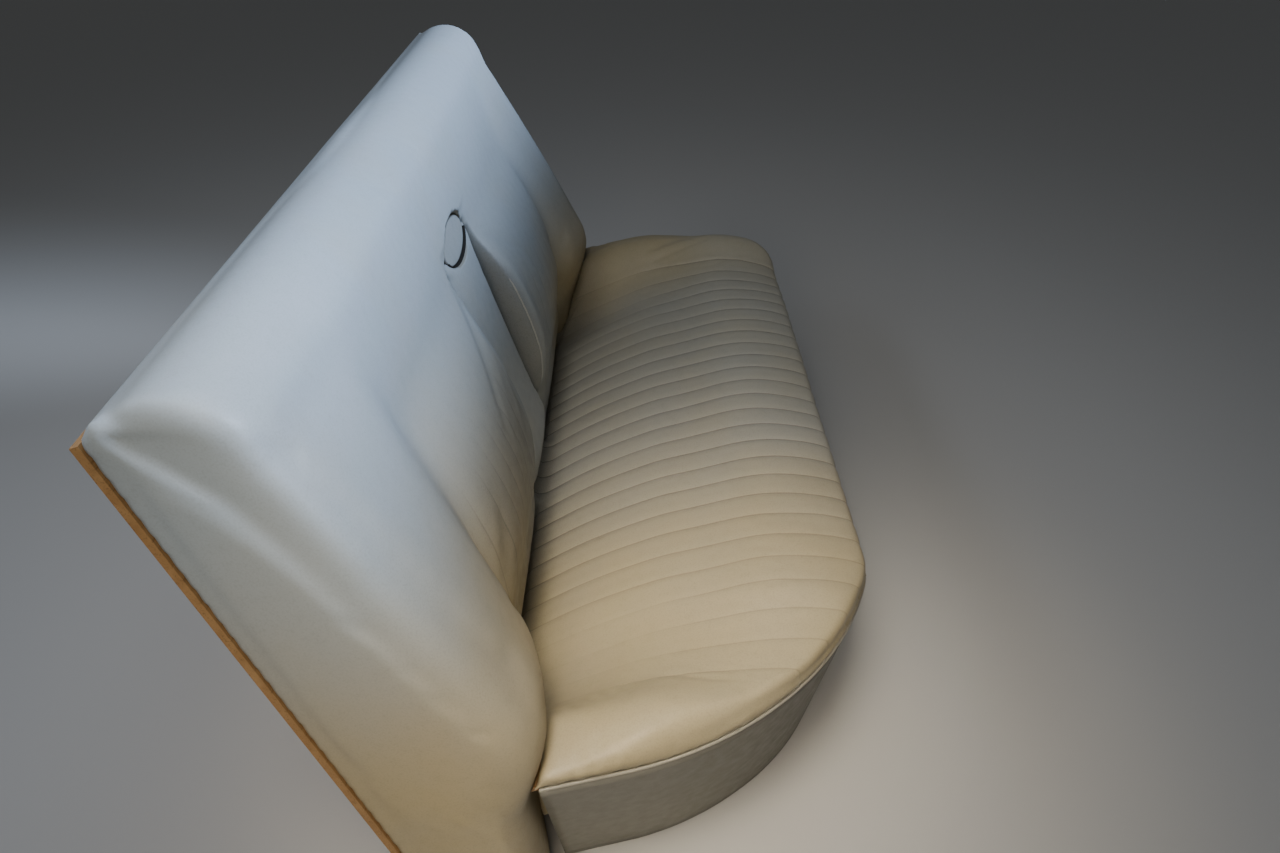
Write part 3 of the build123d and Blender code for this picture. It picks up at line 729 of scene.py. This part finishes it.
# Painted shade on the recess's walls and along the crease; the near lobe's lower part is darker with soil and
# painted shade.
recess_shade = ramp(abs(normals[:, 0]), 0.35, 0.8) * (abs(x) < 122) * (z < 620)
lobe_soil_and_shade = ramp(-x, 100, 180) * (1 - ramp(-x, 430, 510)) * (1 - ramp(z, 430, 580))
crease_shade = (1 - ramp(z, 240, 330)) * facing_front
paint(backrest, "soil_and_shade", np.maximum.reduce([0.3 * crease_shade, 0.5 * lobe_soil_and_shade, 0.55 * recess_shade]))
cut_with(backrest, scoop_prism((*RIM, (HOLLOW_DEPTH, 0.0))))
points = points_of(backrest)
height, depth = lean_frame(points)
inside = inside_scoop(points[:, 0], height)
# Painted shade: a dark line on the rim round the scoop's upper arc, standing for the shade of a groove there.
groove_shade = 0.8 * ramp(inside, -4.2, -2.6) * (inside < 1.5) * (depth < 20)
soil_and_shade_values = backrest.data.attributes["soil_and_shade"].data
soil_and_shade = np.empty(len(points), np.float32)
soil_and_shade_values.foreach_get("value", soil_and_shade)
soil_and_shade_values.foreach_set("value", np.maximum(soil_and_shade, groove_shade).astype(np.float32))
finish_piece(
    backrest,
    backrest_vinyl,
    "bench",
    "backrest_leatherette",
    "backrest_pad",
    "backrest_wing_left",
    "backrest_wing_right",
)

# %% [markdown]
# ## Armrest
# The armrest is its own pad, so that it can fold down. It is crowned like a half-round strip, which
# is done by drawing its long edges back, because its face has to stay where the CAD has it.

# %% Armrest
ARMREST_HALF = 90.0
ARMREST_VOXEL = 4.0
ARMREST_SWELL = 3.0
CROWN = 4.0
TOP_LIFT = 6.0
NOTCH_DEPTH = 140.0

armrest = soft_copy("armrest", "armrest_pad")
joined(armrest, scoop_prism(FILLER, high=ARMREST_TOP - 0.4 - SCOOP_U))
remesh(armrest, ARMREST_VOXEL)
points = points_of(armrest)
height, depth = lean_frame(points)
free = ramp(np.hypot(height - PIVOT_U, depth - PIVOT_W), 9, 20)
top_corners = (height > 322) * (abs(points[:, 0]) > 66)
smooth(armrest, free * ~top_corners, 11)
smooth(armrest, free, 3)
inflate(armrest, free, ARMREST_SWELL)

points = points_of(armrest)
height, depth = lean_frame(points)
depth += CROWN * (points[:, 0] / ARMREST_HALF) ** 2 * (1 - ramp(depth, 10, 70))
height += TOP_LIFT * ramp(height, 290, 335) * (1 - ramp(depth, 30, 60))
points[:, 1] = FACE_Y + sin(RECLINE) * height + cos(RECLINE) * depth
points[:, 2] = FACE_Z + cos(RECLINE) * height - sin(RECLINE) * depth
move_points(armrest, points)
z = points[:, 2]
# Painted light as on the backrest: a warm tan low down and the cool tint higher up, with painted crease shade
# at its foot.
painted(armrest, 0.3 * (1 - ramp(z, 300, 560)), 0.3 * (1 - ramp(z, 240, 330)))
cut_with(armrest, scoop_prism((*RIM, (NOTCH_DEPTH, 0.0))))
finish_piece(armrest, backrest_vinyl, "armrest", "backrest_leatherette", "armrest_pad")

# %% [markdown]
# ## Panel of the scoop
# A soft panel lines the hollow. It starts flush under the upper arc and leans inwards, so that its
# lower edge stands behind the armrest's top edge and leaves the dark slot for the fingers.

# %% Scoop panel
PANEL_DEPTH = 3.0
PANEL_THICK = 12.0
PANEL_SLOT = 0.5
PANEL_FIT = (0.97, 0.93, 1.0)
PANEL_FRONT = 1.5
PANEL_BELLY = 2.0
PANEL_TURN = 2.5
PANEL_RINGS = (0.97, 0.93, 0.89, 0.84, 0.76, 0.64, 0.5, 0.34, 0.18)

bm = bmesh.new()
bmesh.ops.delete(bm, geom=[scoop_face(bm)], context="FACES_ONLY")
bmesh.ops.scale(bm, verts=bm.verts, vec=PANEL_FIT)
ring, size = bm.edges[:], 1.0
for ring_size in PANEL_RINGS:
    grown = bmesh.ops.extrude_edge_only(bm, edges=ring)["geom"]
    ring = [item for item in grown if isinstance(item, bmesh.types.BMEdge)]
    inner = [item for item in grown if isinstance(item, bmesh.types.BMVert)]
    bmesh.ops.scale(bm, verts=inner, vec=(ring_size / size, ring_size / size, 1.0))
    size = ring_size
bmesh.ops.contextual_create(bm, geom=ring)
for vert in bm.verts:
    low = (SCOOP_RISE - vert.co.y) / (2 * SCOOP_RISE)
    belly = 1 - min(1.0, (vert.co.x / SCOOP_HALF) ** 2 + (vert.co.y / SCOOP_RISE) ** 2)
    turned = PANEL_TURN if vert.is_boundary else 0.0
    vert.co.z = PANEL_FRONT + PANEL_DEPTH * low + PANEL_BELLY * belly + turned
    vert.co.y += PANEL_SLOT * low * (1 - (vert.co.x / SCOOP_HALF) ** 2)
grown = bmesh.ops.extrude_face_region(bm, geom=bm.faces[:])["geom"]
behind = [item for item in grown if isinstance(item, bmesh.types.BMVert)]
bmesh.ops.translate(bm, verts=behind, vec=(0.0, 0.0, PANEL_THICK))
panel = lean_object(bm, "scoop_panel")
points = points_of(panel)
height, depth = lean_frame(points)
# Painted shade: a dark band along the panel's edge, standing for the shade of the groove round it.
groove_shade = 1 - ramp(inside_scoop(points[:, 0], height), 3.6, 5.2)
painted(panel, 0.1, 0.05 + 0.9 * groove_shade)
finish_piece(panel, backrest_vinyl, "bench", "backrest_leatherette")

# %% [markdown]
# ## Black strip in the notch
# A black strip, painted shade for the dark slot, follows the scoop's outline through the armrest's
# notch. It is the lower part of that outline, drawn out to a band and given its thickness, and it
# turns with the armrest.

# %% Painted shade strip in the armrest's notch
SLOT_SHADE_DEPTH = 0.4
SLOT_SHADE_LENGTH = 24.0
SLOT_SHADE_THICK = 1.0

bm = bmesh.new()
bmesh.ops.delete(bm, geom=[scoop_face(bm)], context="FACES_ONLY")
whole = bm.verts[:] + bm.edges[:]
level = (0.0, ARMREST_TOP - SCOOP_U - 1.0, 0.0)
bmesh.ops.bisect_plane(bm, geom=whole, plane_co=level, plane_no=(0.0, 1.0, 0.0), clear_outer=True)
grown = bmesh.ops.extrude_edge_only(bm, edges=bm.edges)["geom"]
behind = [item for item in grown if isinstance(item, bmesh.types.BMVert)]
bmesh.ops.translate(bm, verts=behind, vec=(0.0, 0.0, SLOT_SHADE_LENGTH))
bmesh.ops.translate(bm, verts=bm.verts, vec=(0.0, 0.2, SLOT_SHADE_DEPTH))
bmesh.ops.recalc_face_normals(bm, faces=bm.faces)
bmesh.ops.solidify(bm, geom=bm.faces, thickness=SLOT_SHADE_THICK)
# Painted shade: this black strip stands for the dark of the slot behind the armrest's top edge.
slot_shade = lean_object(bm, "scoop_slot_shade")
finish_piece(slot_shade, slot_shade_black, "armrest", "backrest_leatherette")

# %% [markdown]
# ## Lining of the recess
# Behind the armrest the board is covered with a thin padded panel of the same leatherette, which
# shows when the armrest is down. It is a plate with rounded edges that lies on the board.

# %% Recess lining
LINING_HALF = 95.0
LINING_LOW = 8.0
LINING_HIGH = 343.0
LINING_FRONT = 121.5
LINING_REAR = 127.5

bm = bmesh.new()
bmesh.ops.create_cube(bm, size=1.0)
size = (2 * LINING_HALF, LINING_HIGH - LINING_LOW, LINING_REAR - LINING_FRONT)
bmesh.ops.scale(bm, verts=bm.verts, vec=size)
middle = ((LINING_HIGH + LINING_LOW) / 2 - SCOOP_U, (LINING_REAR + LINING_FRONT) / 2)
bmesh.ops.translate(bm, verts=bm.verts, vec=(0.0, *middle))
bmesh.ops.bevel(bm, geom=bm.edges, offset=2.5, segments=3, profile=0.5, affect="EDGES", material=-1)
lining = lean_object(bm, "recess_lining")
painted(lining, 0.3)
finish_piece(lining, backrest_vinyl, "bench", "backrest_leatherette")

# %% [markdown]
# ## Welts of the lobes
# A thin welt is sewn along the inner edge of each lobe, where its cover turns into the armrest's
# recess. It lies on the finished backrest, so its line is found by looking at the backrest from
# the front at even heights, and the points become a curve with a round bevel.

# %% Welts
WELT_X = 105.0
WELT_RADIUS = 1.5
WELT_HEIGHTS = (300.0, 530.0)


def corded(name, spots, radius):
    """A round cord of one radius through the points, which are in metres."""
    curve = bpy.data.curves.new(name, "CURVE")
    curve.dimensions = "3D"
    spline = curve.splines.new("POLY")
    spline.points.add(len(spots) - 1)
    for point, spot in zip(spline.points, spots):
        point.co = (*spot, 1.0)
    curve.bevel_depth = radius * MM
    curve.bevel_resolution = 4
    curve.use_fill_caps = True
    path = new_object(name + "_path", curve)
    depsgraph = bpy.context.evaluated_depsgraph_get()
    cord = new_object(name, bpy.data.meshes.new_from_object(path.evaluated_get(depsgraph)))
    bpy.data.objects.remove(path)
    return cord


surface = BVHTree.FromPolygons(
    [vert.co for vert in backrest.data.vertices], [face.vertices for face in backrest.data.polygons]
)
for name, x in (("welt_left", WELT_X), ("welt_right", -WELT_X)):
    spots = []
    for z in np.arange(*WELT_HEIGHTS, 10.0):
        spot = surface.ray_cast(Vector((x, -900.0, z)) * MM, Vector((0.0, 1.0, 0.0)))[0]
        from_end = min(z - WELT_HEIGHTS[0], WELT_HEIGHTS[1] - z)
        sunk = 0.3 + 2.7 * (1 - ramp(from_end, 0, 30))
        spots.append(spot + Vector((0.0, sunk, 0.0)) * MM)
    welt = corded(name, spots, WELT_RADIUS)
    painted(welt, 0.3)
    finish_piece(welt, backrest_vinyl, "bench", "backrest_leatherette")

# %% [markdown]
# ## Outline of the base
# The piping and the skirt follow the cushion's outline: a straight front, a round corner at each
# end, and straight sides that run back under the wings. The left corner is the squarer one. A
# corner is spun from one point about its arc's centre, which keeps its points evenly spaced.

# %% Outline
CUSHION_FRONT = -396.0
TOP_LEFT = ((565.0, CUSHION_FRONT), (657.0, -360.0), (690.0, -270.0))
TOP_RIGHT = ((-375.0, CUSHION_FRONT), (-576.0, -262.0), (-670.0, -85.0))
TOP_REAR = (708.0, 82.0)
WING_FRONT = 24.0
CORNER_STEPS = 28
FRONT_STEPS = 30
SIDE_STEPS = 10


def arc_centre(a, b, c):
    """Centre of the circle through three points."""
    a, b, c = Vector(a), Vector(b), Vector(c)
    u, v = b - a, c - a
    x = v.y * u.length_squared - u.y * v.length_squared
    y = u.x * v.length_squared - v.x * u.length_squared
    return a + Vector((x, y)) * (0.5 / (u.x * v.y - u.y * v.x))


def outline(bm, height, scale=1.0, tuck=0.0, back=0.0, inset=0.0):
    """Chain of edges round the base from the right rear to the left rear, at one height."""
    chains = []
    for first, middle, last in (TOP_RIGHT, TOP_LEFT):
        sign = 1 if first[0] > 0 else -1
        centre = arc_centre(first, middle, last)
        radius = (Vector(first) - centre).length
        start, end = Vector(first) - centre, Vector(last) - centre
        angle = start.angle(end)
        shrink = (radius - inset) / radius
        vert = bm.verts.new((*(centre + start * shrink), 0.0))
        bmesh.ops.spin(
            bm,
            geom=[vert],
            cent=(*centre, 0.0),
            axis=(0.0, 0.0, 1.0),
            angle=sign * angle,
            steps=CORNER_STEPS,
            use_duplicate=False,
        )
        bm.verts.ensure_lookup_table()
        chain = list(bm.verts)[-(CORNER_STEPS + 1) :]
        flare = (TOP_REAR[0] - abs(last[0])) / (TOP_REAR[1] - last[1])
        tip = chain[-1]
        for step in range(1, SIDE_STEPS + 1):
            y = last[1] + (WING_FRONT - last[1]) * step / SIDE_STEPS
            point = bm.verts.new((sign * (abs(tip.co.x) + flare * (y - last[1])), y, 0.0))
            bm.edges.new((chain[-1], point))
            chain.append(point)
        chains.append(chain)
    right, left = chains
    bridge = [right[0]]
    for step in range(1, FRONT_STEPS):
        x = right[0].co.x + (left[0].co.x - right[0].co.x) * step / FRONT_STEPS
        point = bm.verts.new((x, right[0].co.y, 0.0))
        bm.edges.new((bridge[-1], point))
        bridge.append(point)
    bm.edges.new((bridge[-1], left[0]))
    chain = list(reversed(right)) + bridge[1:] + left
    for vert in chain:
        side = 1 if vert.co.x > 0 else -1
        weight = min(abs(vert.co.x) / 600.0, 1.0)
        vert.co = Vector((scale * vert.co.x - side * tuck * weight, scale * vert.co.y + back, height)) * MM
    return chain


# %% [markdown]
# ## Piping
# A bead of the cushion's leatherette, wrapped round a 5 mm cord, closes the seam between the
# cushion and the skirt. The outline's points become a curve with a round bevel.

# %% Piping
BEAD_RADIUS = 2.5

bm = bmesh.new()
piping = corded("piping", [vert.co.copy() for vert in outline(bm, PIPING_TOP - 3.0, inset=1.0)], BEAD_RADIUS)
bm.free()
painted(piping, 0.2)
finish_piece(piping, cushion_vinyl, "bench", "cushion_leatherette", "cushion_piping")

# %% [markdown]
# ## Skirt
# The skirt is leatherette stretched over a thin board that follows the outline and slopes in to
# the floor. It is bridged between the outline at the piping and the smaller one at the foot, then
# gets its thickness inwards.

# %% Skirt
FOOT_SCALE = 0.894
FOOT_TUCK = 29.0
FOOT_BACK = -4.0
SKIRT_WALL = 8.0
SKIRT_ROWS = 12

bm = bmesh.new()
outline(bm, PIPING_TOP - 6.0)
outline(bm, 2.0, FOOT_SCALE, FOOT_TUCK, FOOT_BACK)
bmesh.ops.bridge_loops(bm, edges=bm.edges)
upright = [edge for edge in bm.edges if abs(edge.verts[0].co.z - edge.verts[1].co.z) > 0.1]
bmesh.ops.subdivide_edges(bm, edges=upright, cuts=SKIRT_ROWS, use_grid_fill=True)
bmesh.ops.recalc_face_normals(bm, faces=bm.faces)
skirt_mesh = bpy.data.meshes.new("skirt")
bm.to_mesh(skirt_mesh)
bm.free()
skirt = new_object("skirt", skirt_mesh)
points, normals = points_of(skirt), normals_of(skirt)
outward = np.sign((normals[:, :2] * points[:, :2]).sum())
wall = skirt.modifiers.new("wall", "SOLIDIFY")
wall.thickness = SKIRT_WALL * MM
wall.offset = -outward
make_final(skirt)
points = points_of(skirt)
# Darker towards the front face: painted shade of a face turned from the light, with shoe scuffs. Darker at
# the foot: painted shade where it meets the floor.
front_shade_and_scuffs = 0.65 * ramp(-points[:, 1], 40, 330)
painted(skirt, 0.4, np.maximum(front_shade_and_scuffs, 0.3 * (1 - ramp(points[:, 2], 0, 60))))
finish_piece(skirt, skirt_vinyl, "bench", "skirt_leatherette", "skirt_front", "skirt_left", "skirt_right")

# %% [markdown]
# ## Boards and steel
# The hard pieces show from behind and below. The boards are birch plywood, pale with long fibres.
# The tubes have black stove enamel, which is smooth and dark. The springs are bare oil-tempered
# wire, a dark brown grey, and the hinge and hooks are zinc-plated, a bright cool grey in faint
# patches. Images could show all this, but patterns in metres need no unwrapping, so each node keeps
# its CAD mesh and only gets a material.


# %% Plywood
# Bands of noise per metre in x, y and z, so a band is about 333 mm long and 17 mm wide. Real fibres
# are finer, and this is as coarse as they need to be to show.
FIBRE_SCALE = (3.0, 60.0, 60.0)


def plywood(name):
    """Birch plywood: long pale fibres with darker growth lines."""
    material, tree, shader = new_material(name)
    place = add(tree, "TexCoord").outputs["Object"]
    along = add(tree, "Mapping", None, {"Scale": FIBRE_SCALE}, {"Vector": place}).outputs[0]
    fibre = add(tree, "TexNoise", None, {"Scale": 1.0, "Detail": 8.0, "Distortion": 0.6}, {"Vector": along})
    growth = add(tree, "TexNoise", None, {"Scale": 4.0, "Detail": 2.0, "Distortion": 2.0}, {"Vector": along})
    pale = add(
        tree,
        "Mix",
        {"data_type": "RGBA"},
        {6: to_linear("#B99668"), 7: to_linear("#8A6539")},
        {0: fibre.outputs["Fac"]},
    )
    lines = add(tree, "MapRange", None, {1: 0.55, 2: 0.7, 3: 0.0, 4: 0.5}, {0: growth.outputs["Fac"]})
    wood = add(
        tree,
        "Mix",
        {"data_type": "RGBA"},
        {7: to_linear("#5E4224")},
        {0: lines.outputs[0], 6: pale.outputs[2]},
    )
    relief = {"Strength": 0.3, "Distance": 0.2 * MM}
    bump = add(tree, "Bump", None, relief, {"Height": fibre.outputs["Fac"]})
    tree.links.new(wood.outputs[2], shader.inputs["Base Color"])
    tree.links.new(bump.outputs[0], shader.inputs["Normal"])
    shader.inputs["Roughness"].default_value = 0.62
    return material


# %% Steel
MARK_SIZE = 9.0


def steel(name, light, dark, patch_size, metallic, roughness, rub):
    """Plated, painted or bare steel in patches of two tints, dulled where it is rubbed."""
    material, tree, shader = new_material(name)
    place = add(tree, "TexCoord").outputs["Object"]
    patches = add(tree, "TexVoronoi", {}, {"Scale": 1000 / patch_size}, {"Vector": place})
    marks = add(tree, "TexNoise", None, {"Scale": 1000 / MARK_SIZE, "Detail": 6.0}, {"Vector": place})
    shade = add(
        tree,
        "Mix",
        {"data_type": "RGBA"},
        {6: to_linear(light), 7: to_linear(dark)},
        {0: patches.outputs["Distance"]},
    )
    worn = add(
        tree,
        "MapRange",
        values={1: 0.4, 2: 0.7, 3: roughness, 4: min(roughness + rub, 1.0)},
        links={0: marks.outputs["Fac"]},
    )
    relief = {"Strength": 0.2, "Distance": 0.1 * MM}
    bump = add(tree, "Bump", None, relief, {"Height": marks.outputs["Fac"]})
    tree.links.new(shade.outputs[2], shader.inputs["Base Color"])
    tree.links.new(worn.outputs[0], shader.inputs["Roughness"])
    tree.links.new(bump.outputs[0], shader.inputs["Normal"])
    shader.inputs["Metallic"].default_value = metallic
    return material


finishes = {
    "plywood": plywood("birch_plywood"),
    "painted_steel": steel("black_stove_enamel", "#1B1C1E", "#2A2B2D", 40, 0.0, 0.32, 0.25),
    "spring_steel": steel("oil_tempered_wire", "#4A4642", "#2E2B29", 12, 1.0, 0.4, 0.25),
    "zinc_steel": steel("zinc_plate", "#B9BDC0", "#8F9599", 6, 1.0, 0.34, 0.2),
}
SOFT_NODES = ("cushion", "skirt", "backrest_pad", "backrest_wing", "armrest_pad")
for name, node in nodes.items():
    if name.startswith(SOFT_NODES):
        continue
    if name.startswith(("backrest_board", "rim_board")):
        finish = finishes["plywood"]
    elif name.startswith("seat_springs"):
        finish = finishes["spring_steel"]
    elif name.startswith(("hanger", "armrest_bracket", "armrest_pin")):
        finish = finishes["zinc_steel"]
    else:
        finish = finishes["painted_steel"]
    node.data.materials.clear()
    node.data.materials.append(finish)
print("hard finishes:", [finish.name for finish in finishes.values()])

# %% [markdown]
# ## Size
# Both boxes are written down, so that the dressed seat can be compared with its CAD.

# %% Sizes
low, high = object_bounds()
beyond = [(a - b) / MM for a, b in zip((*low, *high), (*cad_low, *cad_high))]
print("visual beyond CAD, mm:", [round(value, 1) for value in beyond])
